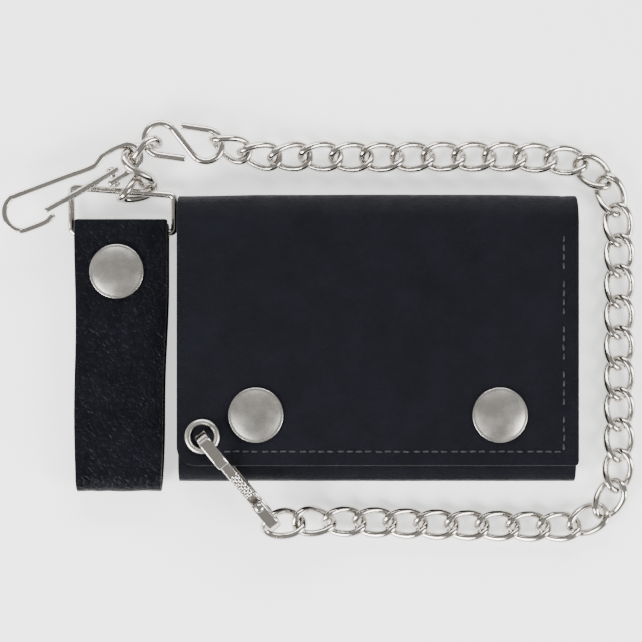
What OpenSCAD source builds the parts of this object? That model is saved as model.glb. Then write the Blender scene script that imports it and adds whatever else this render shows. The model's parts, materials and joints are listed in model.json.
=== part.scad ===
// Trifold leather wallet on a curb chain, with a belt loop that snaps shut.
// The wallet lies on its back: X runs along its width, Y towards its top fold, Z up.
// The origin is the middle of the wallet's back face.

/* [Wallet] */
// Width of the closed wallet
wallet_w = 109; // [106:0.5:109]
// Height of the closed wallet, top fold to bottom fold
wallet_h = 78.5; // [78:0.25:79]
// Thickness of the outer leather
leather = 1.5; // [1.3:0.1:1.5]
// Thickness of the linings and card pockets
lining = 0.8; // [0.6:0.1:0.8]
// Distance of the front snaps from the wallet's middle
snap_x = 33; // [28:0.5:38]
// Height of the front snaps' row
snap_y = -20.5; // [-24:0.5:-10]

/* [Snaps and eyelet] */
// Diameter of the snap caps
cap_d = 15; // [13:0.5:15]
// Height of a cap's dome
cap_h = 1.8; // [1.2:0.1:2]
// Outer diameter of the eyelet
eyelet_d = 9.6; // [9:0.1:10]
// Diameter of the hole through the eyelet
eyelet_hole = 6.2; // [6:0.1:6.4]

/* [Chain] */
// Distance from link to link
pitch = 8.5; // [8.5:0.05:8.6]
// Diameter of the links' wire
wire = 2; // [1.8:0.1:2]
// Outer width of a link
link_w = 8.9; // [8.8:0.1:9.2]

/* [Belt loop] */
// Width of the strap
strap_w = 26; // [22:0.5:26]
// Thickness of the strap's leather
strap_leather = 1.3; // [1.1:0.1:1.3]
// Diameter of the wire ring's and the S hook's wire
ring_wire = 2; // [1.8:0.1:2]

/* [Hidden] */
$fn = 64;

// Colours
black = [0.07, 0.07, 0.08];
inner_black = [0.12, 0.12, 0.13];
nickel = [0.75, 0.73, 0.7];
clear = [0.8, 0.85, 0.9, 0.5];

// Heights of the wallet's layers, from the back face up
bill_gap = 0.5;
tuck_top = 8.9;
tuck_bottom = tuck_top - leather;
fold_r = tuck_top / 2;
lining_low = leather + bill_gap;
lining_high = tuck_top - lining_low;
flap_low = 13.4;
flap_top = flap_low + leather;
flap_lining_low = 12.4;
top_fold_r = flap_top / 2;

// Plan of the wallet
half_w = wallet_w / 2;
top_y = wallet_h / 2;
bottom_y = -wallet_h / 2;
flap_edge_y = bottom_y + 4.95;
flap_end_y = top_y - top_fold_r;
eyelet_x = 7 - half_w;
eyelet_y = -26.3;

// Snap parts
post_r = 1.6;
stud_r = 2.6;
socket_r = 5.5;
fit_gap = 0.1;

// Chain: the heading and the upward tilt of each link, in degrees, and its roll
headings = [
    -2, -1, -2, -2, -2, -2, -1, -1, -1, 0, 27, 60, 86,
    90, 90, 90, 90, 90, 90, 90, 94, 112, 142, 173,
    176, 180, 180, 180, 181, 180, 180, 178, 184, 171, 158
];
first_tilts = [-25, -17, -8];
last_tilts = [1, 2, 3, 4, 6.5];
first_rolls = [-40, -20];
last_rolls = [-9, -18, -27, -36, -45];
count = len(headings);
function ends(first, last) = concat(first, [for (i = [1 : count - len(first) - len(last)]) 0], last);
tilts = ends(first_tilts, last_tilts);
rolls = ends(first_rolls, last_rolls);
chain_start = [-29, -49.9, 9.45];
link_gap = 0.3;
link_a = (pitch + wire) / 2 + link_gap;
link_b = (link_w - wire) / 2;
link_twist = -45;
link_rings = 22;
wire_sides = 8;

// Snap hooks, each bent from a strip
strip = 1.5;
belt_clip_deep = 3.6;
belt_clip_at = [-102.8, 34.7, 9.75];
belt_clip_tilt = 7;
belt_clip_turn = 22.2;
wallet_clip_scale = 0.8;
wallet_clip_deep = 3.4;
wallet_clip_turn = -51.3;
wallet_clip_tilt = 4.5;
wallet_clip_z = 13.7;
hook_back = 1.2;

// S hook and wire ring
s_middle = [-53.35, 54.2, 4.85];
s_tilt = 5;
ring_z = 2.6;
ring_slope = 0.055;

// Strap
strap_x = -70.1;
strap_top = 32.9;
strap_bottom = -42.1;
bar_y = 29.3;
wrap_gap = 0.3;
wrap_r = ring_wire / 2 + wrap_gap + strap_leather;
tail_top = strap_leather + 2 * (ring_wire / 2 + wrap_gap) + strap_leather;
strap_front_low = 7.2;
strap_front_top = strap_front_low + strap_leather;
strap_fold_r = strap_front_top / 2;
strap_snap = [-71.3, 18.5];

function unit(v) = v / norm(v);
function on_circle(c, r, t) = c + r * [cos(t), sin(t)];
function arc(c, r, from, to, n) = [for (i = [0 : n]) on_circle(c, r, from + (to - from) * i / n)];
function sum_to(list, n, i = 0, s = [0, 0, 0]) = i == n ? s : sum_to(list, n, i + 1, s + list[i]);

// A strip along X with a given section in Y and Z
module along_x(width) {
    rotate([90, 0, 90]) linear_extrude(width, center = true) children();
}

// Half a ring of sheet, open towards +X (side = 1) or -X (side = -1)
module half_ring(r, thick, side) {
    intersection() {
        difference() {
            circle(r);
            circle(r - thick);
        }
        translate([side > 0 ? -2 * r : 0, -2 * r]) square([2 * r, 4 * r]);
    }
}

// A sheet folded back on itself: from its low end round the fold to its high end
module folded(thick, high, fold_y, low_end, high_end) {
    r = high / 2;
    translate([fold_y + r, r]) half_ring(r, thick, 1);
    translate([fold_y + r, 0]) square([low_end - fold_y - r, thick]);
    translate([fold_y + r, high - thick]) square([high_end - fold_y - r, thick]);
}

// A sheet lying flat, with its own radius at each lower corner
module flat_sheet(x0, x1, y0, y1, left_r, right_r) {
    difference() {
        translate([x0, y0]) square([x1 - x0, y1 - y0]);
        corner_cut(x0, y0, left_r, 1);
        corner_cut(x1, y0, right_r, -1);
    }
}

module corner_cut(x, y, r, side) {
    translate([x, y]) mirror([side < 0 ? 1 : 0, 0]) difference() {
        translate([-1, -1]) square(r + 1);
        translate([r, r]) circle(r);
    }
}

// Round wire along a path of points; closed joins the last to the first
module wire_path(points, d, closed = false, ups = undef) {
    n = len(points);
    m = wire_sides;
    rings = [for (i = [0 : n - 1])
        let (before = closed ? points[(i + n - 1) % n] : points[max(i - 1, 0)])
        let (after = closed ? points[(i + 1) % n] : points[min(i + 1, n - 1)])
        let (t = unit(after - before))
        let (side = unit(cross(t, ups == undef ? [0, 0, 1] : ups[i])))
        let (up = cross(side, t))
        for (j = [0 : m - 1]) points[i] + d / 2 * (cos(360 * j / m) * side + sin(360 * j / m) * up)
    ];
    last = closed ? n - 1 : n - 2;
    walls = [for (i = [0 : last]) for (j = [0 : m - 1])
        let (k = (i + 1) % n)
        let (l = (j + 1) % m)
        for (face = [[i * m + j, k * m + l, k * m + j], [i * m + j, i * m + l, k * m + l]]) face
    ];
    ends = closed ? [] : [[for (j = [m - 1 : -1 : 0]) j], [for (j = [0 : m - 1]) (n - 1) * m + j]];
    polyhedron([for (p = rings) p], concat(walls, ends), convexity = 6);
}

// One twisted curb link, its long axis along X
module curb_link() {
    blunt = 0.8;
    ts = [for (i = [0 : link_rings - 1]) 360 * (i + 0.5) / link_rings];
    across = [for (t = ts) link_b * sign(sin(t)) * pow(abs(sin(t)), blunt)];
    along = [for (t = ts) link_a * sign(cos(t)) * pow(abs(cos(t)), blunt)];
    turn = [for (a = along) link_twist * a / link_a];
    line = [for (i = [0 : link_rings - 1]) [along[i], across[i] * cos(turn[i]), across[i] * sin(turn[i])]];
    ups = [for (f = turn) [0, -sin(f), cos(f)]];
    wire_path(line, wire, closed = true, ups = ups);
}

function direction(tilt, heading) = [cos(tilt) * cos(heading), cos(tilt) * sin(heading), sin(tilt)];
steps = [for (i = [0 : count - 1]) pitch * direction(tilts[i], headings[i])];
function contact(i) = chain_start + sum_to(steps, i);

// Links first to last of the chain, counted from 1
module links(first, last) {
    color(nickel) for (i = [first - 1 : last - 1]) {
        translate(contact(i) + steps[i] / 2) rotate([rolls[i], -tilts[i], headings[i]]) curb_link();
    }
}

// A flat strip of a given thickness along a 2D line
module strip_along(line, thick) {
    n = len(line);
    t = [for (i = [0 : n - 1]) unit(line[min(i + 1, n - 1)] - line[max(i - 1, 0)])];
    polygon(concat(
        [for (i = [0 : n - 1]) line[i] + thick / 2 * [-t[i][1], t[i][0]]],
        [for (i = [n - 1 : -1 : 0]) line[i] - thick / 2 * [-t[i][1], t[i][0]]]
    ));
}

function stretched(line, k, w) = [for (p = line) [p[0] * k, p[1] * w]];

// Centre line of a snap hook's frame, from the open nose round to the eye and its lug
function frame_line(k, w) = stretched(concat(
    [[13.2, -6.1], [10, -7.1]],
    arc([5.5, -2.4], 5, 250, 100, 12),
    [[10, 2.5], [20, 2.4], [28, 2.3], [31.5, 4], [35, 4.7]],
    arc([37.6, 1.1], 3.7, 80, -90, 10),
    [[34, -3.1], [30, -3.9]]
), k, w);
function gate_line(k, w) = stretched([[34.2, -0.7], [33, -0.9], [29, -1.6], [20, -3], [11.2, -4.2]], k, w);

module clip_rivet_shape(k, w, r) {
    translate([32 * k, -2.3 * w, 0]) rotate([90, 0, 0]) cylinder(r = r, h = 4.4 * w, center = true);
}

module clip_frame(k, w, deep) {
    difference() {
        linear_extrude(deep, center = true) strip_along(frame_line(k, w), strip);
        clip_rivet_shape(k, w, 0.8);
    }
}

module clip_gate(k, w, deep) {
    difference() {
        linear_extrude(deep - 0.4, center = true) strip_along(gate_line(k, w), strip);
        clip_rivet_shape(k, w, 1.2);
    }
}

module clip_rivet(k, w) {
    translate([32 * k, -2.35 * w, 0]) rotate([90, 0, 0]) {
        cylinder(r = 0.75, h = 5.2 * w, center = true);
        translate([0, 0, -3 * w]) cylinder(r = 1.25, h = 0.6);
        translate([0, 0, 3 * w - 0.6]) cylinder(r = 1.25, h = 0.6);
    }
}

// Where each snap hook goes
module at_wallet_clip() {
    translate([eyelet_x, eyelet_y, wallet_clip_z]) rotate([0, wallet_clip_tilt, wallet_clip_turn])
        rotate([-90, 0, 0]) translate([-hook_back, 0, 0]) children();
}

module at_belt_clip() {
    translate(belt_clip_at) rotate([0, belt_clip_tilt, belt_clip_turn]) children();
}

module dome(d, h) {
    r = (d * d / 4 + h * h) / (2 * h);
    intersection() {
        translate([0, 0, h - r]) sphere(r, $fn = 96);
        cylinder(d = d, h = h + 1);
    }
}

// Cap of a snap with its post, standing on the leather's face
module snap_cap(post) {
    rim = 0.5;
    translate([0, 0, rim]) dome(cap_d, cap_h - rim);
    cylinder(d = cap_d, h = rim);
    translate([0, 0, -post]) cylinder(r = post_r, h = post + rim / 2);
}

// Spring socket under the flap, its mouth down at z = 0
module snap_socket(h) {
    web = 0.7;
    difference() {
        cylinder(r = socket_r, h = h);
        translate([0, 0, -1]) cylinder(r = stud_r + 0.2, h = h - web + 1);
        cylinder(r = post_r + fit_gap, h = h + 1);
    }
}

// Stud: a flange, a neck and a button
module snap_stud(neck) {
    difference() {
        union() {
            cylinder(r = 5, h = 0.4);
            cylinder(r = stud_r - 0.5, h = neck + 0.5);
            translate([0, 0, neck]) cylinder(r = stud_r, h = 0.9);
        }
        translate([0, 0, -1]) cylinder(r = 1.45, h = 1.8);
    }
}

module at_snaps() {
    for (side = [-1, 1]) {
        translate([side * snap_x, snap_y, 0]) children();
    }
}

module back_cover() {
    color(black) difference() {
        along_x(wallet_w) folded(leather, tuck_top, bottom_y, flap_end_y, flap_end_y - 2);
        at_snaps() translate([0, 0, tuck_bottom - 1]) cylinder(r = 1.5, h = leather + 2);
    }
}

module back_lining() {
    color(inner_black) {
        translate([0, 0, lining_low]) along_x(wallet_w - 1)
            folded(lining, lining_high - lining_low, bottom_y + lining_low, flap_end_y, flap_end_y - 3);
        translate([half_w - 4, bottom_y + 6, leather]) cube([3.5, flap_end_y - bottom_y - 8, bill_gap]);
    }
}

module pocket(x0, x1, y0, y1, z, r) {
    color(inner_black) translate([0, 0, z]) linear_extrude(lining - 0.1) flat_sheet(x0, x1, y0, y1, r, r);
}

module back_pocket_upper() pocket(-half_w + 3, half_w - 3, -30, 22, lining_low + lining, 2);
module back_pocket_lower() pocket(-half_w + 3, half_w - 3, -30, 10, lining_low + 2 * lining - 0.1, 2);
module tuck_pocket() pocket(-half_w + 3, half_w - 3, -28, 24, lining_high - 2 * lining + 0.1, 2);

module id_window() {
    color(clear) translate([-40, -22, lining_high - 2 * lining - 0.25]) cube([80, 44, 0.3]);
}

module snap_studs() {
    color(nickel) at_snaps() translate([0, 0, tuck_top]) snap_stud(1.6);
}

module stud_rivets() {
    color(nickel) at_snaps() translate([0, 0, lining_high + 0.05]) {
        cylinder(r = 4, h = 0.4);
        cylinder(r = 1.4, h = 2.5);
    }
}

module top_fold() {
    color(black) along_x(wallet_w) translate([flap_end_y, top_fold_r]) half_ring(top_fold_r, leather, -1);
}

module flap_holes() {
    at_snaps() cylinder(r = post_r + fit_gap, h = 60, center = true);
    translate([eyelet_x, eyelet_y, 0]) cylinder(d = eyelet_hole + 1, h = 60, center = true);
}

module flap_cover() {
    color(black) difference() {
        translate([0, 0, flap_low]) linear_extrude(leather)
            flat_sheet(-half_w + 0.5, half_w, flap_edge_y, flap_end_y, 8, 1);
        flap_holes();
    }
}

module flap_lining() {
    color(inner_black) difference() {
        translate([0, 0, flap_lining_low]) {
            linear_extrude(lining)
                flat_sheet(-half_w + 1.5, half_w - 0.5, flap_edge_y + 0.5, flap_end_y - 1, 7.5, 1);
            translate([half_w - 4, flap_edge_y + 3, lining])
                cube([3.5, flap_end_y - flap_edge_y - 6, flap_low - flap_lining_low - lining]);
        }
        flap_holes();
    }
}

module flap_pocket() pocket(-half_w + 6, half_w - 4, -8, flap_end_y - 4, flap_lining_low - lining + 0.1, 2);

module snap_cap_at(x) {
    color(nickel) translate([x, snap_y, flap_top]) snap_cap(flap_top - flap_lining_low + 0.6);
}

module snap_socket_at(x) {
    color(nickel) translate([x, snap_y, flap_lining_low - 2]) snap_socket(2);
}

module eyelet() {
    barrel_r = eyelet_hole / 2 + 0.45;
    flange = 0.7;
    color(nickel) translate([eyelet_x, eyelet_y, 0]) rotate_extrude() {
        translate([eyelet_hole / 2, flap_lining_low - 0.5])
            square([barrel_r - eyelet_hole / 2, flap_top - flap_lining_low + 0.6]);
        translate([(eyelet_hole + eyelet_d) / 4, flap_top]) intersection() {
            circle(r = (eyelet_d - eyelet_hole) / 4);
            translate([-5, 0]) square([10, flange]);
        }
    }
}

module eyelet_washer() {
    color(nickel) translate([eyelet_x, eyelet_y, flap_lining_low - 0.5]) difference() {
        cylinder(d = eyelet_d, h = 0.5);
        translate([0, 0, -1]) cylinder(r = eyelet_hole / 2 + 0.5, h = 3);
    }
}

module wallet_clip_frame() color(nickel) at_wallet_clip() clip_frame(wallet_clip_scale, 1, wallet_clip_deep);
module wallet_clip_rivet() color(nickel) at_wallet_clip() clip_rivet(wallet_clip_scale, 1);
module wallet_clip_gate() color(nickel) at_wallet_clip() clip_gate(wallet_clip_scale, 1, wallet_clip_deep);

// Half of the S hook, from its free end to the middle of its diagonal
half_s = concat([[-0.57, 4.55]], arc([6.25, -0.85], 4.4, 82, -142, 14));
module s_hook() {
    other_half = [for (i = [len(half_s) - 1 : -1 : 0]) -half_s[i]];
    line = [for (p = concat(half_s, other_half)) [p[0], p[1], 0]];
    color(nickel) translate(s_middle) rotate([0, s_tilt, 0]) wire_path(line, ring_wire);
}

// Links that lie at an angle of their own: centre, then roll, upward tilt and heading. The first hangs in
// the wallet clip's eye, and the others join the S hook to the wire ring.
first_link_at = [[-25.7, -50.6, 7.26], [-2.2, -19, 4.6]];
joining_link_at = [[-64.9, 52.3, 5.1], [-77, 18, 24.5]];
middle_link_at = [[-66, 46.5, 5], [-87, 25, 126.5]];
ring_link_at = [[-66.3, 41.35, 3.6], [130.5, 26.5, -150]];
module loose_link(at) {
    color(nickel) translate(at[0]) rotate([at[1][0], -at[1][1], at[1][2]]) curb_link();
}
module first_link() loose_link(first_link_at);
module joining_link() loose_link(joining_link_at);
module middle_link() loose_link(middle_link_at);
module ring_link() loose_link(ring_link_at);

module belt_clip_frame() color(nickel) at_belt_clip() clip_frame(1, 1, belt_clip_deep);
module belt_clip_rivet() color(nickel) at_belt_clip() clip_rivet(1, 1);
module belt_clip_gate() color(nickel) at_belt_clip() clip_gate(1, 1, belt_clip_deep);

// Centre line of the wire ring: its upper bar slopes down to the right
module wire_ring() {
    left = -84.4;
    right = -55.9;
    r = 1.5;
    line = concat(
        arc([left + r, bar_y + r], r, 180, 270, 4),
        arc([right - r, bar_y + r], r, 270, 360, 4),
        arc([right - r, 39.8 - r], r, 0, 86, 4),
        arc([left + r, 41.8 - r], r, 94, 180, 4)
    );
    sloped = [for (p = line) [p[0], p[1], ring_z + ring_slope * (p[1] - bar_y)]];
    color(nickel) wire_path(sloped, ring_wire, closed = true);
}

module strap_holes() {
    translate([strap_snap[0], strap_snap[1], 0]) cylinder(r = post_r + fit_gap, h = 60, center = true);
}

// Back strip: up from the bottom fold, round the ring's lower bar and down again as a tail
module strap_back() {
    fold_y = strap_bottom + strap_fold_r;
    color(black) difference() {
        translate([strap_x, 0, 0]) along_x(strap_w) {
            translate([fold_y, 0]) square([bar_y - fold_y, strap_leather]);
            translate([bar_y, wrap_r]) half_ring(wrap_r, strap_leather, -1);
            translate([9, tail_top - strap_leather]) square([bar_y - 9, strap_leather]);
        }
        translate([strap_snap[0], strap_snap[1], 3]) cylinder(r = 1.5, h = 10);
    }
}

module strap_fold() {
    color(black) translate([strap_x, 0, 0]) along_x(strap_w)
        translate([strap_bottom + strap_fold_r, strap_fold_r]) half_ring(strap_fold_r, strap_leather, 1);
}

module strap_front() {
    fold_y = strap_bottom + strap_fold_r;
    color(black) difference() {
        translate([strap_x, 0, strap_front_low]) along_x(strap_w)
            translate([fold_y, 0]) square([strap_top - fold_y, strap_leather]);
        strap_holes();
    }
}

module strap_cap() {
    color(nickel) translate([strap_snap[0], strap_snap[1], strap_front_top]) snap_cap(strap_leather + 0.6);
}

module strap_socket() {
    color(nickel) translate([strap_snap[0], strap_snap[1], strap_front_low - 1.6]) snap_socket(1.6);
}

module strap_stud() {
    color(nickel) translate([strap_snap[0], strap_snap[1], tail_top]) {
        cylinder(r = 1.9, h = 0.8);
        translate([0, 0, 0.3]) cylinder(r = stud_r, h = 0.8);
        translate([0, 0, -strap_leather - 0.4]) cylinder(r = 4, h = 0.4);
        translate([0, 0, -strap_leather - 0.2]) cylinder(r = 1.4, h = strap_leather + 0.4);
    }
}

back_cover();
back_lining();
back_pocket_upper();
back_pocket_lower();
tuck_pocket();
id_window();
snap_studs();
stud_rivets();
top_fold();
flap_cover();
flap_lining();
flap_pocket();
snap_cap_at(-snap_x);  // snap_cap_left
snap_cap_at(snap_x);  // snap_cap_right
snap_socket_at(-snap_x);  // snap_socket_left
snap_socket_at(snap_x);  // snap_socket_right
eyelet();
eyelet_washer();
wallet_clip_frame();
wallet_clip_rivet();
wallet_clip_gate();
first_link();  // link_01
links(2, 2);  // link_02
links(3, 3);  // link_03
links(4, 4);  // link_04
links(5, 5);  // link_05
links(6, 8);  // links_06_08
links(9, 10);  // links_09_10
links(11, 11);  // link_11
links(12, 12);  // link_12
links(13, 13);  // link_13
links(14, 15);  // links_14_15
links(16, 17);  // links_16_17
links(18, 19);  // links_18_19
links(20, 21);  // links_20_21
links(22, 22);  // link_22
links(23, 23);  // link_23
links(24, 24);  // link_24
links(25, 26);  // links_25_26
links(27, 28);  // links_27_28
links(29, 30);  // links_29_30
links(31, 32);  // links_31_32
links(33, 34);  // links_33_34
links(35, 35);  // link_35
s_hook();
joining_link();
middle_link();
belt_clip_frame();
belt_clip_rivet();
belt_clip_gate();
ring_link();
wire_ring();
strap_back();
strap_fold();
strap_front();
strap_cap();
strap_socket();
strap_stud();
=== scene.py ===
import json
import bpy
import bmesh
import numpy as np
from mathutils import Matrix, Vector


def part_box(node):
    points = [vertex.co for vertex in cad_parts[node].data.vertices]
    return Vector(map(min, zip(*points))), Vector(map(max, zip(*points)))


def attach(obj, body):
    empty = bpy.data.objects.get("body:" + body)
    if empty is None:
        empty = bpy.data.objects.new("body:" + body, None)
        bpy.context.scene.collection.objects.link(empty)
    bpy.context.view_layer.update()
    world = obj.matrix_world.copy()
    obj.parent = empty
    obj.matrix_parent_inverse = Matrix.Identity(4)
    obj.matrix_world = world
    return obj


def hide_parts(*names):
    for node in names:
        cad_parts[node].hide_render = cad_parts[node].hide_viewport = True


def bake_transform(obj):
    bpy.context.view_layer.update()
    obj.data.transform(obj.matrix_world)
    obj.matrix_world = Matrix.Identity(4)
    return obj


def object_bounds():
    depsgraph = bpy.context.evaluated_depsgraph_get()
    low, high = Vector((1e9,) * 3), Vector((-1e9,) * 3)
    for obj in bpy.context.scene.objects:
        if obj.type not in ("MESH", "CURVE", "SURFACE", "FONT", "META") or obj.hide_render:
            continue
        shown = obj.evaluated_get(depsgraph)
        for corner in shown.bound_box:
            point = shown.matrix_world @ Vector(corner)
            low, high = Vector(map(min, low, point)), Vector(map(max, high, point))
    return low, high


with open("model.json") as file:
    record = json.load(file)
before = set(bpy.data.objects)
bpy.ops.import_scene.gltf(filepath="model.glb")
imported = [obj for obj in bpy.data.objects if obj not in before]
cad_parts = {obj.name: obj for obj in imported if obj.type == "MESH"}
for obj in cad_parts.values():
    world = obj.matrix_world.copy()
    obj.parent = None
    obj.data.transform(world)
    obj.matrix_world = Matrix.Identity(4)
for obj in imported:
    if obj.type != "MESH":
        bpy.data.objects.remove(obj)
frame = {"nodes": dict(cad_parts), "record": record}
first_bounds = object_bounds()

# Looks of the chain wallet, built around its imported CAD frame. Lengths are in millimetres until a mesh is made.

MM = 0.001
SEED = 11
THREAD_PROUD = 0.06  # how far the flap's thread stands above the leather, mm
STRAP_END = 9  # where the strap's back run ends, mm up from the wallet's centre
CAMERA_MARGIN = 1.024  # width of the picture against the object's, both in metres
CAMERA_SHIFT = (0.0002, 0.0029)  # the picture's centre against the object's, in metres
joints = {j["name"]: j for j in frame["record"]["behaviour"]["joints"]}


def box(node):
    """Lowest and highest corner of a CAD node, in mm."""
    low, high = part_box(node)
    return np.array(low) / MM, np.array(high) / MM


# ---------------------------------------------------------------- meshes

def grid_faces(rows, columns, loop_rows=False, loop_columns=False, start=0):
    """Quads of a grid of rows x columns points, closed on itself along rows or columns if asked."""
    r = np.arange(rows if loop_rows else rows - 1)
    c = np.arange(columns if loop_columns else columns - 1)
    i, j = np.meshgrid(r, c, indexing="ij")
    k, l = (i + 1) % rows, (j + 1) % columns
    quads = np.stack([i * columns + j, k * columns + j, k * columns + l, i * columns + l], -1)
    return (quads.reshape(-1, 4) + start).tolist()


def joined(parts):
    """Several (points, faces) as one."""
    points, faces, n = [], [], 0
    for p, f in parts:
        points.append(np.asarray(p, float).reshape(-1, 3))
        faces += [[n + v for v in face] for face in f]
        n += len(points[-1])
    return np.vstack(points), faces


def piece(name, shape, material, nodes, body=None, rim=None, weld=0.0005, recalc=False):
    """A Blender object from (points, faces); rim is a value per point that the material reads as its cut edge."""
    points, faces = shape
    mesh = bpy.data.meshes.new(name)
    mesh.from_pydata((np.asarray(points) * MM).tolist(), [], faces)
    if rim is not None:
        mesh.attributes.new("rim", "FLOAT", "POINT").data.foreach_set("value", np.asarray(rim, np.float32).ravel())
    bm = bmesh.new()
    bm.from_mesh(mesh)
    bmesh.ops.remove_doubles(bm, verts=bm.verts, dist=weld * MM)
    bmesh.ops.dissolve_degenerate(bm, edges=bm.edges, dist=1e-8)
    if recalc:
        bmesh.ops.recalc_face_normals(bm, faces=bm.faces)
    bm.to_mesh(mesh)
    bm.free()
    mesh.shade_smooth()
    mesh.materials.append(material)
    thing = bpy.data.objects.new(name, mesh)
    bpy.context.collection.objects.link(thing)
    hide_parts(*nodes)
    if body:
        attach(thing, body)
    return thing


def moved(shape, matrix):
    """A shape under a 4 x 4 matrix in mm."""
    points, faces = shape
    m = np.array(matrix)
    return np.asarray(points) @ m[:3, :3].T + m[:3, 3], faces


def at(x, y, z):
    return Matrix.Translation((x, y, z))


def ramp(low, high, x):
    """0 below low, 1 above high, smooth between."""
    t = np.clip((x - low) / (high - low), 0, 1)
    return t * t * (3 - 2 * t)


def waves(x, y, size, seed):
    """Smooth unevenness between about -1 and 1, with features of the given size in mm."""
    rng = np.random.default_rng(seed)
    total = 0
    for _ in range(7):
        angle, phase = rng.uniform(0, 2 * np.pi, 2)
        k = 2 * np.pi / (size * rng.uniform(0.7, 2.2))
        total = total + np.sin(k * (x * np.cos(angle) + y * np.sin(angle)) + phase)
    return total / 4.5


def arc(centre, radius, first, last, count=24):
    a = np.radians(np.linspace(first, last, count + 1))
    return np.stack([centre[0] + radius * np.cos(a), centre[1] + radius * np.sin(a)], -1)


def smooth_line(points, step):
    """A Catmull-Rom curve through points, resampled about every step mm."""
    p = np.asarray(points, float)
    p = np.vstack([2 * p[0] - p[1], p, 2 * p[-1] - p[-2]])
    out = []
    for a, b, c, d in zip(p[:-3], p[1:-2], p[2:-1], p[3:]):
        count = max(1, int(np.ceil(np.linalg.norm(c - b) / step)))
        for t in np.arange(count) / count:
            out.append(0.5 * (2 * b + (c - a) * t + (2 * a - 5 * b + 4 * c - d) * t ** 2
                              + (3 * b - a - 3 * c + d) * t ** 3))
    return np.array(out + [p[-2]])


def tube(line, radius, closed=False, ups=None, sides=14, chamfer=0.25):
    """Round wire along a line; an open wire ends in flat cut faces with a small chamfer."""
    line = np.asarray(line, float)
    if closed:
        tangent = np.roll(line, -1, 0) - np.roll(line, 1, 0)
    else:
        tangent = np.gradient(line, axis=0)
    tangent /= np.linalg.norm(tangent, axis=1)[:, None]
    radii = np.full(len(line), float(radius))
    if not closed:
        start, end = chamfer * tangent[0], chamfer * tangent[-1]
        line = np.vstack([line[0], line[0] + start, line[1:-1], line[-1] - end, line[-1]])
        tangent = np.vstack([tangent[:1], tangent, tangent[-1:]])
        radii = np.r_[radius - chamfer, radii, radius - chamfer]
    up = np.broadcast_to([0, 0, 1.0], line.shape) if ups is None else np.asarray(ups)
    side = np.cross(tangent, up)
    side /= np.linalg.norm(side, axis=1)[:, None]
    up = np.cross(side, tangent)
    a = 2 * np.pi * np.arange(sides) / sides
    ring = np.cos(a)[None, :, None] * side[:, None] + np.sin(a)[None, :, None] * up[:, None]
    points = line[:, None] + radii[:, None, None] * ring
    faces = grid_faces(len(line), sides, loop_rows=closed, loop_columns=True)
    if not closed:
        faces += [list(range(sides)), [(len(line) - 1) * sides + k for k in reversed(range(sides))]]
    return points.reshape(-1, 3), faces


def lathe(profile, sides=72):
    """A closed profile of (radius, height) turned about the Z axis."""
    profile = np.asarray(profile, float)
    a = 2 * np.pi * np.arange(sides) / sides
    x = profile[:, 0][None] * np.cos(a)[:, None]
    y = profile[:, 0][None] * np.sin(a)[:, None]
    z = np.broadcast_to(profile[:, 1], x.shape)
    return np.stack([x, y, z], -1).reshape(-1, 3), grid_faces(sides, len(profile), True, True)


# ---------------------------------------------------------------- sheets of leather

EDGE_ROUND = 0.45


def lines_across(low, high, step, low_edge=True, high_edge=True):
    """Positions across a sheet: close together at a cut edge, then about every step mm."""
    near = np.array([0, 0.02, 0.08, 0.18, 0.3, 0.45, 0.8, 1.3])
    first = low + near if low_edge else np.array([low])
    last = high - near[::-1] if high_edge else np.array([high])
    count = max(2, int(round((last[0] - first[-1]) / step)))
    return np.concatenate([first, np.linspace(first[-1], last[0], count + 1)[1:-1], last])


def rounded(u, v, u0, u1, v0, v1, radii):
    """Moves a rectangle's points so that its corners have the radii given: low-low, high-low, high-high, low-high."""
    u, v = u.copy(), v.copy()
    for r, (uc, su), (vc, sv) in zip(radii, [(u0, 1), (u1, -1), (u1, -1), (u0, 1)],
                                     [(v0, 1), (v0, 1), (v1, -1), (v1, -1)]):
        if not r:
            continue
        a, b = 1 - su * (u - uc) / r, 1 - sv * (v - vc) / r
        near = (a > 0) & (b > 0)
        new_u = uc + su * r * (1 - a * np.sqrt(np.maximum(1 - b * b / 2, 0)))
        new_v = vc + sv * r * (1 - b * np.sqrt(np.maximum(1 - a * a / 2, 0)))
        u, v = np.where(near, new_u, u), np.where(near, new_v, v)
    return u, v


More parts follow.
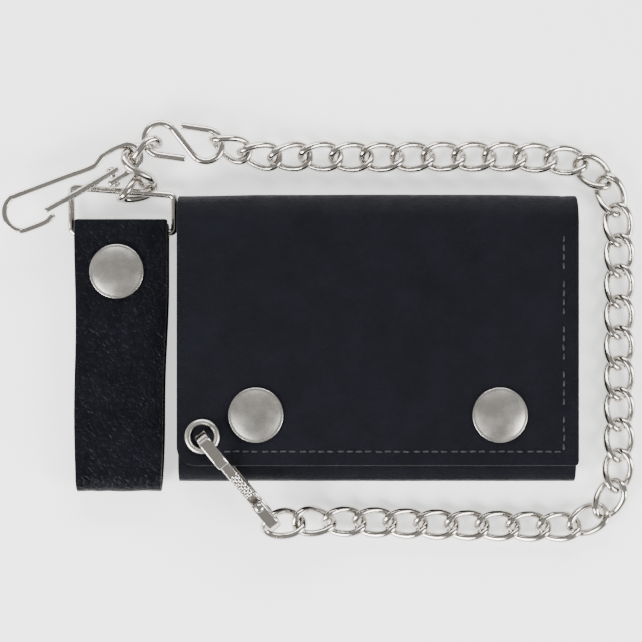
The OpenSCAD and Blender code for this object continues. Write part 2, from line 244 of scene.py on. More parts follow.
def sheet(x0, x1, line, thick, radii=(0, 0, 0, 0), lift=None, skew=None, step=1.6, seam=False, outward=1):
    """A sheet of leather: line is its run in (y, z), x0 to x1 its width. radii round its corners, the first two
    at the line's start. lift(x, y, s) raises its outer face; skew(x, y) moves x. With a seam, its start isn't cut."""
    line = np.asarray(line, float)
    line = line[np.r_[True, np.linalg.norm(np.diff(line, axis=0), axis=1) > 1e-6]]
    along = np.r_[0, np.cumsum(np.linalg.norm(np.diff(line, axis=0), axis=1))]
    length = along[-1]
    across = lines_across(x0, x1, step)
    run = lines_across(0, length, step, low_edge=not seam)
    s, x = np.meshgrid(run, across, indexing="ij")
    from_edge = np.minimum(np.minimum(x - x0, x1 - x), np.minimum(length - s, 9 if seam else s))
    x, s = rounded(x, s, x0, x1, 0, length, radii)
    fine = np.linspace(0, length, 1500)
    fy, fz = np.interp(fine, along, line[:, 0]), np.interp(fine, along, line[:, 1])
    ty, tz = np.gradient(fy, fine), np.gradient(fz, fine)
    kernel = np.ones(9) / 9
    ty, tz = (np.convolve(np.pad(t, 4, "edge"), kernel, "valid") for t in (ty, tz))
    y, z = np.interp(s, fine, fy), np.interp(s, fine, fz)
    ny, nz = outward * np.interp(s, fine, tz), -outward * np.interp(s, fine, ty)
    size = np.hypot(ny, nz)
    ny, nz = ny / size, nz / size
    corner = np.clip(1 - from_edge / EDGE_ROUND, 0, 1) ** (1 / 0.6)
    half = thick / 2 * (1 - corner ** 2) ** 0.3
    up = 0 if lift is None else lift(x, y, s) * np.clip(from_edge / 0.3, 0, 1)
    if skew:
        x = skew(x, y)
    faces_of = [(half + up, 1), (half, -1)]
    points = [np.stack([x, y + sign * h * ny, z + sign * h * nz], -1).reshape(-1, 3) for h, sign in faces_of]
    rows, columns = x.shape
    n = rows * columns
    top = grid_faces(rows, columns)
    faces = top + [[n + v for v in reversed(f)] for f in top]
    if seam:
        faces += [[j + 1, j, n + j, n + j + 1] for j in range(columns - 1)]
    rim = 1 - np.clip(from_edge / 0.5, 0, 1)
    return (np.vstack(points), faces), np.concatenate([rim.ravel()] * 2), length


def panel(name, node, material, body, radii=(2, 2, 2, 2), thick=None, seed=0):
    """A flat sheet in the place of a CAD node, slightly uneven."""
    low, high = box(node)
    t = thick or high[2] - low[2]
    z = low[2] + t / 2
    shape, rim, length = sheet(low[0], high[0], [(low[1], z), (high[1], z)], t, radii,
                               lift=lambda x, y, s: 0.04 * waves(x, y, 22, seed), outward=-1)
    thing = piece(name, shape, material, [node], body, rim, recalc=True)
    return thing


def stitches(rows, pitch=2.45, long=1.75, radius=0.27, seed=3):
    """Thread: rows are (start, end, up) in mm, where up is the face's normal."""
    rng = np.random.default_rng(seed)
    a = 2 * np.pi * np.arange(8) / 8
    ends = np.array([0, 0.12, 0.5, 0.88, 1.0])
    fat = np.array([0.25, 0.8, 1.0, 0.8, 0.25])
    parts = []
    for start, end, up in rows:
        start, end, up = (np.asarray(v, float) for v in (start, end, up))
        count = int(np.linalg.norm(end - start) / pitch)
        direction = (end - start) / np.linalg.norm(end - start)
        side = np.cross(up, direction)
        for i in range(count):
            d = direction + side * rng.normal(0, 0.035)
            first = start + direction * (i + 0.15) * pitch
            height = radius * (0.25 + 0.5 * np.sin(np.pi * ends) - 0.35)
            centre = first + d * (ends * long)[:, None] + up * height[:, None]
            ring = np.cos(a)[None, :, None] * side + np.sin(a)[None, :, None] * up * 0.8
            points = centre[:, None] + radius * fat[:, None, None] * ring
            parts.append((points.reshape(-1, 3), grid_faces(5, 8, loop_columns=True)
                          + [list(range(8)), [32 + k for k in reversed(range(8))]]))
    return joined(parts)


# ---------------------------------------------------------------- materials

class Graph:
    """A node material; add() makes a node, with links where a socket is given and values elsewhere."""

    def __init__(self, name):
        self.material = bpy.data.materials.new(name)
        self.material.use_nodes = True
        self.tree = self.material.node_tree
        self.shader = self.tree.nodes["Principled BSDF"]
        self.place = self.add("TexCoord").outputs["Object"]

    def set(self, node, sockets):
        for key, value in sockets.items():
            if isinstance(value, bpy.types.NodeSocket):
                self.tree.links.new(value, node.inputs[key])
            else:
                node.inputs[key].default_value = value

    def add(self, kind, sockets=None, **settings):
        node = self.tree.nodes.new("ShaderNode" + kind)
        for key, value in settings.items():
            setattr(node, key, value)
        self.set(node, sockets or {})
        return node

    def noise(self, size, detail=3, rough=0.55, stretch=(1, 1, 1), distortion=0):
        """Noise with features of about size mm."""
        scaled = self.add("Mapping", {"Vector": self.place, "Scale": stretch}).outputs["Vector"]
        return self.add("TexNoise", {"Vector": scaled, "Scale": 1 / (MM * size), "Detail": detail,
                                     "Roughness": rough, "Distortion": distortion}).outputs["Fac"]

    def cells(self, size, bend=0.25):
        """Distance from the borders of cells of about size mm, with their borders bent by noise."""
        wobble = self.add("TexNoise", {"Vector": self.place, "Scale": 0.7 / (MM * size), "Detail": 2}).outputs["Color"]
        moved_by = self.add("VectorMath", {0: wobble, "Scale": bend * size * MM * 4}, operation="SCALE").outputs[0]
        vector = self.add("VectorMath", {0: self.place, 1: moved_by}, operation="ADD").outputs[0]
        return self.add("TexVoronoi", {"Vector": vector, "Scale": 1 / (MM * size)},
                        feature="DISTANCE_TO_EDGE").outputs["Distance"]

    def fit(self, value, low, high, new_low=0.0, new_high=1.0):
        return self.add("MapRange", {"Value": value, "From Min": low, "From Max": high,
                                     "To Min": new_low, "To Max": new_high}, interpolation_type="SMOOTHSTEP").outputs[0]

    def math(self, operation, a, b):
        return self.add("Math", {0: a, 1: b}, operation=operation).outputs[0]

    def mix(self, factor, a, b):
        node = self.add("Mix", data_type="RGBA")
        self.set(node, {"Factor": factor, 6: a, 7: b})
        return node.outputs[2]

    def bump(self, height, depth, before=None, strength=1.0):
        """Bump whose height of 1 is depth mm."""
        sockets = {"Height": height, "Distance": depth * MM, "Strength": strength}
        if before:
            sockets["Normal"] = before
        return self.add("Bump", sockets).outputs["Normal"]

    def finish(self, **sockets):
        self.set(self.shader, {k.replace("_", " "): v for k, v in sockets.items()})
        return self.material


def rgb(r, g, b):
    return (r, g, b, 1.0)


def leather(name, dark, light, grain, depth, creases, rough, fibre=rgb(0.17, 0.165, 0.16)):
    """Grained leather: pebbles of the grain's size in mm, creases, pores, uneven dye, painted shade darkening the
    valleys between pebbles and a pale fibrous cut edge.
    """
    g = Graph(name)
    pebbles = g.fit(g.cells(grain), 0.0, 0.32)
    fine = g.fit(g.cells(grain * 0.45), 0.0, 0.35)
    broad = g.noise(9, 4)
    folds = g.fit(g.noise(creases, 2, 0.5, (1, 0.55, 1), 1.2), 0.46, 0.5)
    folds_other = g.fit(g.noise(creases * 0.8, 2, 0.5, (0.6, 1, 1), 1.5), 0.5, 0.54)
    line = g.math("ABSOLUTE", g.math("SUBTRACT", folds, folds_other), 0)
    fibres = g.noise(0.25, 5, 0.75, (1, 1, 3))
    cut = g.add("Attribute", attribute_name="rim").outputs["Fac"]
    edge = g.fit(g.math("ADD", cut, g.math("MULTIPLY", g.math("SUBTRACT", fibres, 0.5), 0.9)), 0.45, 0.95)
    dye_and_valley_shade = g.mix(g.fit(broad, 0.3, 0.7), dark, light)
    # painted shade: the colour is pulled towards 0.45 of the dark dye in the valleys between the pebbles, where the
    # grain dips
    dye_and_valley_shade = g.mix(g.math("MULTIPLY", g.math("SUBTRACT", 1.0, pebbles), 0.55), dye_and_valley_shade, tuple(0.45 * c for c in dark[:3]) + (1,))
    fibre_colour = g.mix(g.fit(fibres, 0.3, 0.75), dark, fibre)
    normal = g.bump(broad, 0.25)
    normal = g.bump(line, depth * 0.5, normal)
    normal = g.bump(pebbles, depth, normal)
    normal = g.bump(fine, depth * 0.4, normal)
    normal = g.bump(g.math("MULTIPLY", fibres, edge), 0.25, normal)
    shine = g.add("Math", {0: g.fit(g.noise(3, 4), 0.25, 0.75, rough - 0.07, rough + 0.08),
                           1: g.math("MULTIPLY", edge, 0.35)}, operation="ADD").outputs[0]
    shine = g.math("SUBTRACT", shine, g.math("MULTIPLY", pebbles, 0.06))
    return g.finish(Base_Color=g.mix(edge, dye_and_valley_shade, fibre_colour), Roughness=shine, Normal=normal,
                    Specular_IOR_Level=0.07)


def nickel(name, colour, tint, rough, spread, scratch, pits=0.0):
    """Plated metal: a slow change of tint, hairline scratches and small pits in the plating."""
    g = Graph(name)
    slow = g.fit(g.noise(7, 3), 0.3, 0.7)
    hair = g.noise(0.35, 4, 0.7, (1, 9, 1), 0.3)
    cross = g.noise(0.3, 3, 0.6, (8, 1, 2), 0.2)
    spots = g.fit(g.noise(0.6, 3, 0.6), 0.62, 0.7)
    shine = g.fit(g.math("MULTIPLY", hair, g.noise(4, 3)), 0.12, 0.42, rough - spread, rough + spread)
    shine = g.math("ADD", shine, g.math("MULTIPLY", spots, pits))
    normal = g.bump(g.noise(2.5, 2), scratch * 2.5)
    normal = g.bump(g.math("ADD", hair, cross), scratch, normal)
    return g.finish(Base_Color=g.mix(slow, colour, tint), Metallic=1.0, Roughness=shine, Normal=normal)


def thread_material():
    g = Graph("waxed_thread")
    twist = g.add("TexWave", {"Vector": g.place, "Scale": 1 / (MM * 2.2), "Distortion": 2.0, "Detail": 2},
                  wave_type="BANDS", bands_direction="DIAGONAL").outputs["Fac"]
    colour = g.mix(g.fit(twist, 0.2, 0.8), rgb(0.004, 0.004, 0.005), rgb(0.018, 0.018, 0.022))
    return g.finish(Base_Color=colour, Roughness=g.fit(g.noise(0.4), 0.3, 0.7, 0.42, 0.6), Normal=g.bump(twist, 0.05))


def vinyl_material():
    g = Graph("clear_vinyl")
    scuff = g.noise(0.8, 5, 0.7, (1, 4, 1))
    return g.finish(Base_Color=g.mix(g.fit(g.noise(12), 0.3, 0.7), rgb(0.84, 0.87, 0.9), rgb(0.93, 0.94, 0.93)),
                    Roughness=g.fit(scuff, 0.4, 0.75, 0.06, 0.3), Transmission_Weight=0.92, IOR=1.46,
                    Normal=g.bump(g.noise(14, 2), 0.3))


def floor_material():
    g = Graph("paper_floor")
    tone = g.mix(g.fit(g.noise(60, 2), 0.3, 0.7), rgb(0.98, 0.98, 0.98), rgb(0.99, 0.99, 0.99))
    return g.finish(Base_Color=tone, Roughness=g.fit(g.noise(1.5, 3), 0.3, 0.7, 0.8, 0.95),
                    Normal=g.bump(g.noise(0.5, 4), 0.01), Emission_Color=tone, Emission_Strength=0.9)


wallet_leather = leather("wallet_leather", rgb(0.0032, 0.0036, 0.0062), rgb(0.0052, 0.0058, 0.0098), 0.5, 0.06, 9, 0.46)
strap_leather = leather("strap_leather", rgb(0.003, 0.0033, 0.0052), rgb(0.005, 0.0056, 0.0085), 1.9, 0.09, 6, 0.42)
lining_leather = leather("lining_leather", rgb(0.005, 0.005, 0.006), rgb(0.008, 0.008, 0.0095), 0.4, 0.025, 4, 0.6)
satin_nickel = nickel("satin_nickel", rgb(0.5, 0.485, 0.45), rgb(0.55, 0.52, 0.49), 0.3, 0.06, 0.004, 0.05)
bright_nickel = nickel("bright_nickel", rgb(0.5, 0.475, 0.44), rgb(0.57, 0.54, 0.5), 0.14, 0.05, 0.006, 0.12)
thread = thread_material()
vinyl = vinyl_material()


# ---------------------------------------------------------------- wallet

back_low, back_high = box("back_cover")
flap_low, flap_high = box("flap_cover")
lining_low, lining_high = box("back_lining")
HIDE = flap_high[2] - flap_low[2]
half_width = back_high[0]
top_end = flap_high[1]
tuck_r = back_high[2] / 2
seam_y = back_low[1] + tuck_r
top_r = flap_high[2] / 2
snaps = [(box(n)[0] + box(n)[1]) / 2 for n in ("snap_cap_left", "snap_cap_right")]
eye = (box("eyelet")[0] + box("eyelet")[1]) / 2
SEW = 4.2
sew_right = half_width - SEW
sew_low = flap_low[1] + 3.9


def flap_lift(x, y, s):
    """How far the flap's outer face stands above its flat place."""
    bulge = 0.35 * ramp(half_width, half_width - 22, np.abs(x)) * ramp(flap_low[1], flap_low[1] + 20, y)
    uneven = 0.09 * waves(x, y, 34, SEED) + 0.035 * waves(x, y, 11, SEED + 1)
    for c in [*snaps, eye]:
        bulge = bulge - 0.22 * np.exp(-((np.hypot(x - c[0], y - c[1]) / 9.5) ** 4))
    sewn_side = np.exp(-((x - sew_right) / 0.55) ** 2) * ramp(sew_low - 1, sew_low, y)
    sewn_low = np.exp(-((y - sew_low) / 0.55) ** 2) * ramp(sew_right + 1, sew_right, x)
    on_flap = ramp(top_end - seam_y + 3, top_end - seam_y + 12, s)
    return (bulge + uneven - 0.16 * np.maximum(sewn_side, sewn_low)) * on_flap


def flap_top(x, y):
    """Height of the flap's outer face."""
    x, y = np.asarray(x, float), np.asarray(y, float)
    return flap_high[2] + flap_lift(x, y, np.full(x.shape, 999.0))


def wallet_shell():
    """Back panel, top fold and flap, in one piece of leather; the bottom fold and tuck panel go on from its seam."""
    mid = HIDE / 2
    line = np.vstack([[seam_y, mid], [top_end, mid], arc((top_end, top_r), top_r - mid, -90, 90, 40),
                      [flap_low[1], flap_high[2] - mid]])
    shape, rim, length = sheet(-half_width, half_width, line, HIDE, (0, 0, 1.2, 5.2), flap_lift, step=1.3, seam=True)
    shell = piece("wallet_shell", shape, wallet_leather, ["flap_cover", "top_fold"],
                  rim=rim * 0.85, recalc=True)
    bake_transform(shell)
    line = np.vstack([[seam_y, mid], arc((seam_y, tuck_r), tuck_r - mid, 270, 90, 30),
                      [box("back_cover")[1][1] - 2, back_high[2] - mid]])
    uneven = lambda x, y, s: 0.05 * waves(x, y, 25, SEED + 2) * (s > 6)
    shape, rim, length = sheet(-half_width, half_width, line, HIDE, (0, 0, 2, 2), uneven, seam=True, outward=-1)
    tuck = piece("wallet_tuck", shape, wallet_leather, ["back_cover"], "wallet_back",
                 rim * 0.6, recalc=True)


def linings():
    """The inner layers: the back's lining with its inner turn, the card pockets and the flap's lining."""
    t = 0.8
    inner_r = (lining_high[2] - lining_low[2]) / 2
    line = np.vstack([[lining_high[1], lining_low[2] + t / 2],
                      arc((seam_y, lining_low[2] + inner_r), inner_r - t / 2, 270, 90, 20),
                      [lining_high[1] - 3, lining_high[2] - t / 2]])
    shape, rim, length = sheet(lining_low[0], lining_high[0], line, t, (1, 1, 1, 1), outward=-1)
    turned = piece("billfold_lining", shape, lining_leather, ["back_lining"], "wallet_back", rim, recalc=True)
    for number, node in enumerate(["back_pocket_upper", "back_pocket_lower", "tuck_pocket"]):
        panel("card_" + node, node, lining_leather, "wallet_back", seed=20 + number)
    panel("window_pane", "id_window", vinyl, "wallet_back", seed=30)
    panel("flap_facing", "flap_lining", lining_leather, "flap", (5, 1, 1, 1), thick=t, seed=31)
    panel("flap_card_pocket", "flap_pocket", lining_leather, "flap", seed=32)
    low, high = box("flap_pocket")
    z = low[2] - 0.02
    rows = [([low[0] + 1.2, low[1] + 1, z], [low[0] + 1.2, high[1] - 1, z], [0, 0, -1]),
            ([high[0] - 1.2, low[1] + 1, z], [high[0] - 1.2, high[1] - 1, z], [0, 0, -1]),
            ([low[0] + 1.2, low[1] + 1.2, z], [high[0] - 1.2, low[1] + 1.2, z], [0, 0, -1])]
    piece("pocket_stitching", stitches(rows, 2.6), thread, [], "flap")


def flap_stitching():
    """Thread along the flap's right side and lower edge, through to the lining's inner face."""
    def row(start, end):
        steps = np.linspace(0, 1, max(2, int(np.hypot(*np.subtract(end, start)) / 9)))
        points = [np.array([*(np.array(start) * (1 - t) + np.array(end) * t), 0]) for t in steps]
        for p in points:
            p[2] = flap_top(p[0], p[1]) + THREAD_PROUD
        return [(a, b, [0, 0, 1]) for a, b in zip(points[:-1], points[1:])]
    side = row((sew_right, sew_low), (sew_right, top_end - 1))
    low = row((eye[0] + 5.5, sew_low), (sew_right, sew_low))
    inner = box("flap_lining")[0][2] - 0.02
    under = [([sew_right, sew_low, inner], [sew_right, top_end - 3, inner], [0, 0, -1]),
             ([eye[0] + 5.5, sew_low, inner], [sew_right, sew_low, inner], [0, 0, -1])]
    piece("flap_stitching", stitches(side + low + under), thread, [], "flap")


# ---------------------------------------------------------------- snaps and eyelet

def cap_shape(radius, height, post):
    """A domed snap cap with a rolled rim and its post, standing on z = 0."""
    r = np.linspace(0, radius - 0.55, 22)
    dome = 0.62 + (height - 0.62) * (1 - (r / (radius - 0.1)) ** 2.3)
    rim = arc((radius - 0.45, 0.45), 0.45, 62, -90, 10)
    under = [[radius - 0.9, 0.0], [radius - 1.2, 0.15], [1.55, 0.15], [1.5, -post], [0, -post]]
    return lathe(np.vstack([np.stack([r, dome], -1), rim, under]), 96)


def socket_shape(height):
    """A spring socket with its mouth at z = 0, a rolled lip and a stepped back."""
    lip = arc((3.35, 0.3), 0.42, 180, 320, 8)
    outer = [[4.4, 0.25], [5.1, 0.12], [5.45, 0.4], [5.45, height - 0.3], [5.2, height], [1.8, height],
             [1.8, height - 0.6], [2.93, height - 0.6]]
    return lathe(np.vstack([lip, outer]), 64)


def stud_shape(neck):
    """A stud: flange, waisted neck and rounded button with a dimple."""
    flange = [[4.6, 0], [5, 0.12], [4.95, 0.34], [4.5, 0.42], [2.6, 0.5], [2.2, 0.7]]
    button = arc((2.0, neck + 0.45), 0.6, -50, 85, 9)
    dimple = [[1.2, neck + 0.98], [0.9, neck + 0.6], [0, neck + 0.55], [0, 0]]
    return lathe(np.vstack([flange, [[2.05, neck - 0.2]], button, dimple]), 56)


def snaps_and_eyelet():
    cap_low, cap_high = box("snap_cap_left")
    radius = (cap_high[0] - cap_low[0]) / 2
    for side, c in zip(("left", "right"), snaps):
        tall = cap_high[2] - flap_high[2]
        cap = moved(cap_shape(radius, tall, flap_high[2] - cap_low[2]), at(c[0], c[1], flap_high[2]))
        piece("front_cap_" + side, cap, satin_nickel, ["snap_cap_" + side], "flap", recalc=True)
        low, high = box("snap_socket_" + side)
        ring = moved(socket_shape(high[2] - low[2]), at(c[0], c[1], low[2]))
        piece("front_socket_" + side, ring, satin_nickel, ["snap_socket_" + side], "flap", recalc=True)
    low, high = box("snap_studs")
    studs = [moved(stud_shape(high[2] - low[2] - 0.9), at(c[0], c[1], low[2])) for c in snaps]
    piece("tuck_studs", joined(studs), satin_nickel, ["snap_studs"], "wallet_back", recalc=True)
    low, high = box("stud_rivets")
    head = [[0, 0], [3.7, 0], [4, 0.15], [3.9, 0.38], [1.4, 0.45], [1.35, high[2] - low[2]], [0, high[2] - low[2]]]
    rivets = [moved(lathe(head, 48), at(c[0], c[1], low[2])) for c in snaps]
    piece("inner_rivets", joined(rivets), satin_nickel, ["stud_rivets"], "wallet_back", recalc=True)
    low, high = box("eyelet")
    outer, hole = (high[0] - low[0]) / 2, 3.12
    roll = (outer - hole) / 2
    ring = arc((hole + roll, flap_high[2] + 0.1), roll, 0, 180, 16)
    ring[:, 1] = flap_high[2] + 0.1 + (ring[:, 1] - flap_high[2] - 0.1) * 0.85
    barrel = [[hole, low[2] + 0.2], [hole + 0.15, low[2]], [hole + 0.4, low[2] + 0.1],
              [hole + 0.4, flap_high[2] - 0.15],
              [outer - 0.2, flap_high[2] - 0.1]]
    shape = moved(lathe(np.vstack([ring, barrel]), 80), at(eye[0], eye[1], 0))
    piece("eyelet_barrel", shape, satin_nickel, ["eyelet"], "flap", recalc=True)
    low, high = box("eyelet_washer")
    profile = [[hole + 0.5, low[2] + 0.1], [hole + 0.7, low[2]], [outer - 0.3, low[2] + 0.12], [outer, high[2] - 0.1],
               [outer - 0.1, high[2]], [hole + 0.5, high[2]]]
    shape = moved(lathe(profile, 72), at(eye[0], eye[1], 0))
    piece("eyelet_backing", shape, satin_nickel, ["eyelet_washer"], "flap", recalc=True)


# ---------------------------------------------------------------- chain

LINK_LENGTH = 5.55
LINK_WIDTH = 3.45
LINK_TWIST = -45
WIRE = 1.0


def link_line(count):
    """Centre line of a twisted curb link, along X, with the normal of its twisted face."""
    t = 2 * np.pi * (np.arange(count) + 0.5) / count
    blunt = lambda v: np.sign(v) * np.abs(v) ** 0.8
    u, v = LINK_LENGTH * blunt(np.cos(t)), LINK_WIDTH * blunt(np.sin(t))
    turn = np.radians(LINK_TWIST) * u / LINK_LENGTH
    line = np.stack([u, v * np.cos(turn), v * np.sin(turn)], -1)
    return line, np.stack([0 * u, -np.sin(turn), np.cos(turn)], -1), t


def islands(node):
    """The points, in mm, of each separate solid of a CAD node."""
    bm = bmesh.new()
    bm.from_mesh(frame["nodes"][node].data)
    bmesh.ops.remove_doubles(bm, verts=bm.verts, dist=1e-6)
    seen, found = set(), []
    for vertex in bm.verts:
        if vertex in seen:
            continue
        group, queue = [], [vertex]
        seen.add(vertex)
        while queue:
            v = queue.pop()
            group.append(np.array(v.co) / MM)
            for edge in v.link_edges:
                other = edge.other_vert(v)
                if other not in seen:
                    seen.add(other)
                    queue.append(other)
        found.append(np.array(group))
    bm.free()
    return found


def axes_of(points):
    """Centre and principal axes, longest first, of a cloud of points."""
    centre = points.mean(0)
    _, vectors = np.linalg.eigh(np.cov((points - centre).T))
    vectors = vectors[:, ::-1]
    if np.linalg.det(vectors) < 0:
        vectors[:, 2] *= -1
    return centre, vectors


def pose_of(points, local):
    """The move that takes the local points onto a node's points, found from their principal axes."""
    centre, to = axes_of(points)
    start, own = axes_of(local)
    best = None
    for flip in ([1, 1, 1], [1, -1, -1], [-1, 1, -1], [-1, -1, 1]):
        turn = to @ np.diag(flip) @ own.T
        back = (points - centre) @ turn + start
        miss = np.linalg.norm(back[:, None] - local[None], axis=2).min(1).mean()
        if best is None or miss < best[0] - 1e-6:
            best = miss, turn
    m = np.eye(4)
    m[:3, :3] = best[1]
    m[:3, 3] = centre - best[1] @ start
    return m


def link_shape():
    """A link of round wire, closed without a seam."""
    line, ups, _ = link_line(72)
    return tube(line, WIRE, closed=True, ups=ups, sides=16)


def chain():
    """Every link where its CAD solid lies, one Blender piece for each body."""
    line, ups, _ = link_line(22)
    local, _ = tube(line, WIRE, closed=True, ups=ups, sides=8)
    shape = link_shape()
    bodies = frame["record"]["behaviour"]["bodies"]
    for body, nodes in bodies.items():
        links = [n for n in nodes if "link" in n and "clip" not in n]
        if not links:
            continue
        solids = [moved(shape, pose_of(points, local)) for n in links for points in islands(n)]
        name = "links_of_" + body if len(solids) > 1 else links[0] + "_wire"
        piece(name, joined(solids), bright_nickel, links, body, recalc=True)


def s_hook():
    """The S hook: two open loops joined by a diagonal, its wire cut square."""
    half = np.vstack([[-0.57, 4.55], arc((6.25, -0.85), 4.4, 82, -142, 14)])
    coarse = np.pad(np.vstack([half, -half[::-1]]), ((0, 0), (0, 1)))
    local, _ = tube(coarse, WIRE, sides=8, chamfer=0)
    fine = smooth_line(np.vstack([half[:1], half[:1] + [3.2, -0.45], half[1:], -half[:0:-1],
                                  -half[:1] - [3.2, -0.45], -half[:1]]), 0.45)
    shape = tube(np.pad(fine, ((0, 0), (0, 1))), WIRE, sides=20, chamfer=0.22)
    pose = pose_of(islands("s_hook")[0], local)
    piece("s_hook_wire", moved(shape, pose), bright_nickel, ["s_hook"], "s_hook", recalc=True)


def wire_ring():
    """The wire ring: a rounded rectangle whose upper bar slopes."""
    low, high = box("wire_ring")
    bend = 1.5
    bar = low[1] + WIRE
    right, left = high[0] - WIRE, low[0] + WIRE
    top = high[1] - WIRE
    line = np.vstack([arc((left + bend, bar + bend), bend, 180, 270, 10),
                      arc((right - bend, bar + bend), bend, 270, 360, 10),
                      arc((right - bend, top - 2 - bend), bend, 0, 86, 10), arc((left + bend, top - bend), bend, 94, 180, 10)])
    line = np.vstack([smooth_line(np.vstack([line, line[:1]]), 1.0)[:-1]])
    slope = (high[2] - low[2] - 2 * WIRE) / (top - bar)
    heights = low[2] + WIRE + slope * (line[:, 1] - bar)
    piece("ring_wire", tube(np.column_stack([line, heights]), WIRE, closed=True, sides=18), bright_nickel,
          ["wire_ring"], "wire_ring", recalc=True)


# ---------------------------------------------------------------- snap hooks

STRIP = 1.5


def strip(line, depth, thick=STRIP, round_=0.42, knurl=None, fine=6):
    """A bent strip: its centre line in the local XY plane, its depth along Z. knurl is a stretch of the line,
    as (first, last) parts of its length, whose two faces carry a diamond pattern."""
    line = smooth_line(line, 0.22 if knurl else 0.45)
    tangent = np.gradient(line, axis=0)
    tangent /= np.linalg.norm(tangent, axis=1)[:, None]
    a, b = thick / 2 - round_, depth / 2 - round_
    corner = lambda s, t, first: np.stack([s * a + round_ * np.cos(np.radians(first + np.linspace(0, 90, 5))),
                                           t * b + round_ * np.sin(np.radians(first + np.linspace(0, 90, 5)))], -1)
    faces_b = np.linspace(-b, b, fine + 2)[1:-1]
    section = np.vstack([corner(1, -1, -90), np.column_stack([np.full(fine, thick / 2), faces_b]), corner(1, 1, 0),
                         corner(-1, 1, 90), np.column_stack([np.full(fine, -thick / 2), faces_b[::-1]]),
                         corner(-1, -1, 180)])
    normal = np.column_stack([-tangent[:, 1], tangent[:, 0]])
    along = np.r_[0, np.cumsum(np.linalg.norm(np.diff(line, axis=0), axis=1))]
    part = along / along[-1]
    shrink = np.clip(np.minimum(along, along[-1] - along) / 0.35, 0, 1)
    shrink = 1 - 0.3 * (1 - shrink) ** 2
    cut = 0
    if knurl:
        on = ramp(knurl[0], knurl[0] + 0.02, part) * ramp(knurl[1], knurl[1] - 0.02, part)
        p, q = np.meshgrid(along, section[:, 1], indexing="ij")
        pattern = np.abs(np.sin((p + q) * 2.35)) * np.abs(np.sin((p - q) * 2.35))
        face = np.abs(section[:, 0]) > thick / 2 - 0.02
        cut = 0.3 * on[:, None] * (pattern - 0.35) * np.sign(section[:, 0]) * face
    offset = section[None, :, 0] * shrink[:, None] + cut
    points = np.concatenate([line[:, None] + offset[..., None] * normal[:, None],
                             np.broadcast_to(section[None, :, 1:] * shrink[:, None, None], offset.shape + (1,))], -1)
    n = len(section)
    faces = grid_faces(len(line), n, loop_columns=True)
    faces += [list(range(n)), [(len(line) - 1) * n + k for k in reversed(range(n))]]
    return points.reshape(-1, 3), faces


def clip_pose(joint, length, turn):
    """Where a snap hook's local frame lies: its gate's pivot is the joint's."""
    pivot = np.array(joints[joint]["pos_m"]) / MM
    local = np.array([32 * length, -1.07, 0])
    m = np.array(turn.to_4x4())
    m[:3, 3] = pivot - m[:3, :3] @ local
    return m


def snap_hook(name, length, pose, depth):
    """Frame, gate and rivet of a snap hook; length stretches it along its own axis."""
    long = lambda points: np.asarray(points, float) * [length, 1]
    frame_line = long(np.vstack([[[13.2, -6.1], [10, -7.1]], arc((5.5, -2.4), 5, 250, 100, 12),
                                 [[10, 2.5], [20, 2.4], [28, 2.3], [31.5, 4], [35, 4.7]],
                                 arc((37.6, 1.1), 3.7, 80, -90, 10), [[34, -3.1], [30, -3.9]]]))
    gate_line = long([[34.2, -0.7], [33, -0.9], [29, -1.6], [20, -3], [11.2, -4.2]])
    piece(name + "_bent_frame", moved(strip(frame_line, depth), pose), bright_nickel, [name + "_frame"], name,
          recalc=True)
    gate = strip(gate_line, depth - 0.4, knurl=(0.28, 0.72), fine=12)
    piece(name + "_sprung_gate", moved(gate, pose), bright_nickel, [name + "_gate"], name + "_gate",
          recalc=True)
    head = [[0, 2.85], [0.5, 2.8], [1.0, 2.62], [1.25, 2.35], [1.25, 2.02], [0.75, 2.0]]
    profile = head + [[r, -h] for r, h in reversed(head)]
    turn = Matrix.Rotation(np.pi / 2, 4, "X")
    rivet = moved(lathe(profile, 32), at(32 * length, -2.35, 0) @ turn)
    piece(name + "_round_rivet", moved(rivet, pose), bright_nickel, [name + "_rivet"], name,
          recalc=True)


def snap_hooks():
    turned = lambda *steps: Matrix.Rotation(np.radians(steps[0]), 3, "Z") @ Matrix.Rotation(np.radians(steps[1]), 3, "Y") \
        @ Matrix.Rotation(np.radians(steps[2]), 3, "X")
    snap_hook("belt_clip", 1, clip_pose("belt_clip_gate_press", 1, turned(22.2, 7, 0)), 3.6)
    snap_hook("wallet_clip", 0.8, clip_pose("wallet_clip_gate_press", 0.8, turned(-51.3, 4.5, -90)), 3.4)


# ---------------------------------------------------------------- belt loop

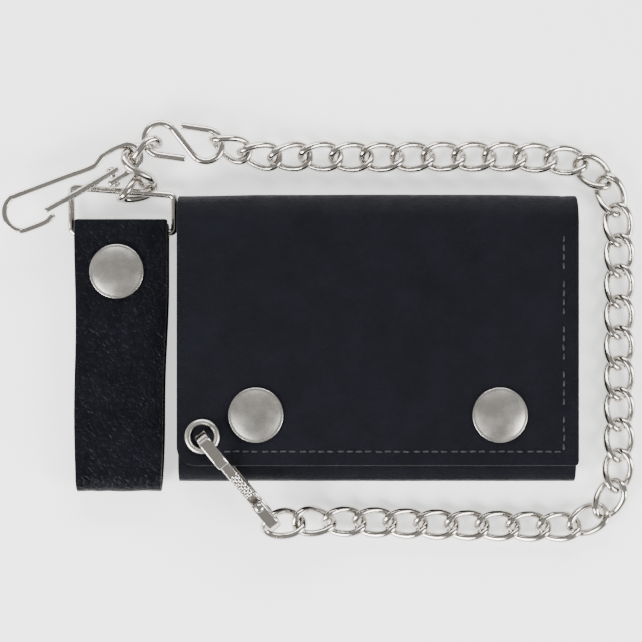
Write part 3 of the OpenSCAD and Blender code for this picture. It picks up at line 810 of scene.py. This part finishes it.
def strap():
    """One strip of leather: round the ring's lower bar and up the back, round the bottom fold and up the front."""
    low, high = box("strap_back")
    face_low, face_high = box("strap_front")
    fold_high = box("strap_fold")[1][2]
    t = face_high[2] - face_low[2]
    fold_r = fold_high / 2
    fold_y = box("strap_fold")[0][1] + fold_r
    bar_low, _ = box("wire_ring")
    bar = (bar_low[1] + WIRE, bar_low[2] + WIRE)
    x0, x1 = low[0], high[0]

    def taper(x, y):
        """The strip narrows a little downwards and its sides aren't quite straight."""
        part = (y - fold_y) / (face_high[1] - fold_y)
        right = x1 - 1.9 * (1 - np.clip(part, -0.1, 1)) ** 1.2 + 0.16 * np.sin(y / 6.5) - 0.15
        left = x0 + 0.25 + 0.22 * np.sin(y / 8 + 1)
        return left + (x - x0) / (x1 - x0) * (right - left)

    snap = (box("strap_cap")[0] + box("strap_cap")[1]) / 2

    def lift(x, y, s):
        rise = 0.12 * waves(x, y, 16, SEED + 5) + 0.07 * waves(x, y, 5.5, SEED + 6)
        creases = 0.16 * np.maximum(0, waves(x, y * 2.2, 9, SEED + 7)) ** 2 * ramp(12, -30, y)
        return rise - creases - 0.25 * np.exp(-(np.hypot(x - snap[0], y - snap[1]) / 9.5) ** 4)

    line = np.vstack([[fold_y, t / 2], [bar[0], t / 2], arc(bar, bar[1] - t / 2, -90, 90, 24),
                      [STRAP_END, high[2] - t / 2]])
    back_lift = lambda x, y, s: 0.3 * lift(x, y, s) * (s > 4) * z_free(s)
    shape, rim, length = sheet(x0, x1, line, t, (0, 0, 1.5, 1.5), back_lift, taper, seam=True)
    body = piece("strap_rear", shape, strap_leather, ["strap_back"], "strap_back", rim * 0.7, recalc=True)
    line = np.vstack([[fold_y, t / 2], arc((fold_y, fold_r), fold_r - t / 2, 270, 90, 24),
                      [face_high[1], face_high[2] - t / 2]])
    shape, rim, length = sheet(x0, x1, line, t, (0, 0, 0.8, 0.8), lambda x, y, s: lift(x, y, s) * np.clip(s / 6, 0, 1),
                               taper, step=1.0, seam=True, outward=-1)
    face = piece("strap_facing", shape, strap_leather, ["strap_fold", "strap_front"], rim=rim,
                 recalc=True)
    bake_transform(face)
    cap_low, cap_high = box("strap_cap")
    cap = cap_shape((cap_high[0] - cap_low[0]) / 2, cap_high[2] - face_high[2], face_high[2] - cap_low[2])
    piece("strap_domed_cap", moved(cap, at(snap[0], snap[1], face_high[2])), satin_nickel, ["strap_cap"], "strap_front",
          recalc=True)
    low, high = box("strap_socket")
    ring = moved(socket_shape(high[2] - low[2]), at(snap[0], snap[1], low[2]))
    piece("strap_ring_socket", ring, satin_nickel, ["strap_socket"], "strap_front", recalc=True)
    low, high = box("strap_stud")
    profile = [[0, 0], [3.8, 0], [4, 0.15], [3.9, 0.38], [1.4, 0.4], [1.4, 1.6], [1.9, 1.75], [2.5, 2.1], [2.6, 2.45],
               [2.3, high[2] - low[2]], [0, high[2] - low[2] - 0.1]]
    piece("strap_button", moved(lathe(profile, 48), at(snap[0], snap[1], low[2])), satin_nickel, ["strap_stud"],
          "strap_back", recalc=True)


def z_free(s):
    """1 along the strap's flat back, 0 where it wraps the ring."""
    return ramp(64, 56, s)


# ---------------------------------------------------------------- stage

def area_light(name, place, size, power, aim=(0, 0, 0), colour=(1, 1, 1)):
    light = bpy.data.lights.new(name, "AREA")
    light.shape = "RECTANGLE"
    light.size, light.size_y = size
    light.energy = power
    light.color = colour
    thing = bpy.data.objects.new(name, light)
    thing.location = place
    thing.rotation_euler = (Vector(aim) - Vector(place)).to_track_quat("-Z", "Y").to_euler()
    bpy.context.collection.objects.link(thing)


def stage():
    mesh = bpy.data.meshes.new("paper_floor")
    n = 12
    line = np.linspace(-2.5, 2.5, n)
    x, y = np.meshgrid(line, line, indexing="ij")
    mesh.from_pydata(np.stack([x, y, 0 * x - 0.0002], -1).reshape(-1, 3).tolist(), [], grid_faces(n, n))
    mesh.materials.append(floor_material())
    floor = bpy.data.objects.new("paper_floor", mesh)
    bpy.context.collection.objects.link(floor)
    world = bpy.data.worlds.new("studio")
    bpy.context.scene.world = world
    world.use_nodes = True
    world.node_tree.nodes["Background"].inputs["Color"].default_value = (1.0, 0.985, 0.96, 1)
    world.node_tree.nodes["Background"].inputs["Strength"].default_value = 0.42
    area_light("key", (-0.5, -0.45, 0.42), (0.5, 0.35), 13)
    area_light("fill", (0.62, -0.3, 0.4), (0.35, 0.5), 9)
    area_light("back", (0.0, 0.75, 0.5), (1.0, 0.3), 12)


def camera():
    """Straight above, as the photograph; its field covers the picture's width at the wallet's scale."""
    low, high = first_bounds
    centre = (np.array(low) + np.array(high)) / 2
    width = (high[0] - low[0]) * CAMERA_MARGIN
    view = bpy.data.cameras.new("camera")
    view.sensor_width = 36
    view.lens = 110
    height = width * view.lens / view.sensor_width
    thing = bpy.data.objects.new("camera", view)
    thing.location = (centre[0] + CAMERA_SHIFT[0], centre[1] + CAMERA_SHIFT[1], height)
    bpy.context.collection.objects.link(thing)
    bpy.context.scene.camera = thing


camera()
wallet_shell()
linings()
flap_stitching()
snaps_and_eyelet()
chain()
s_hook()
wire_ring()
snap_hooks()
strap()
stage()
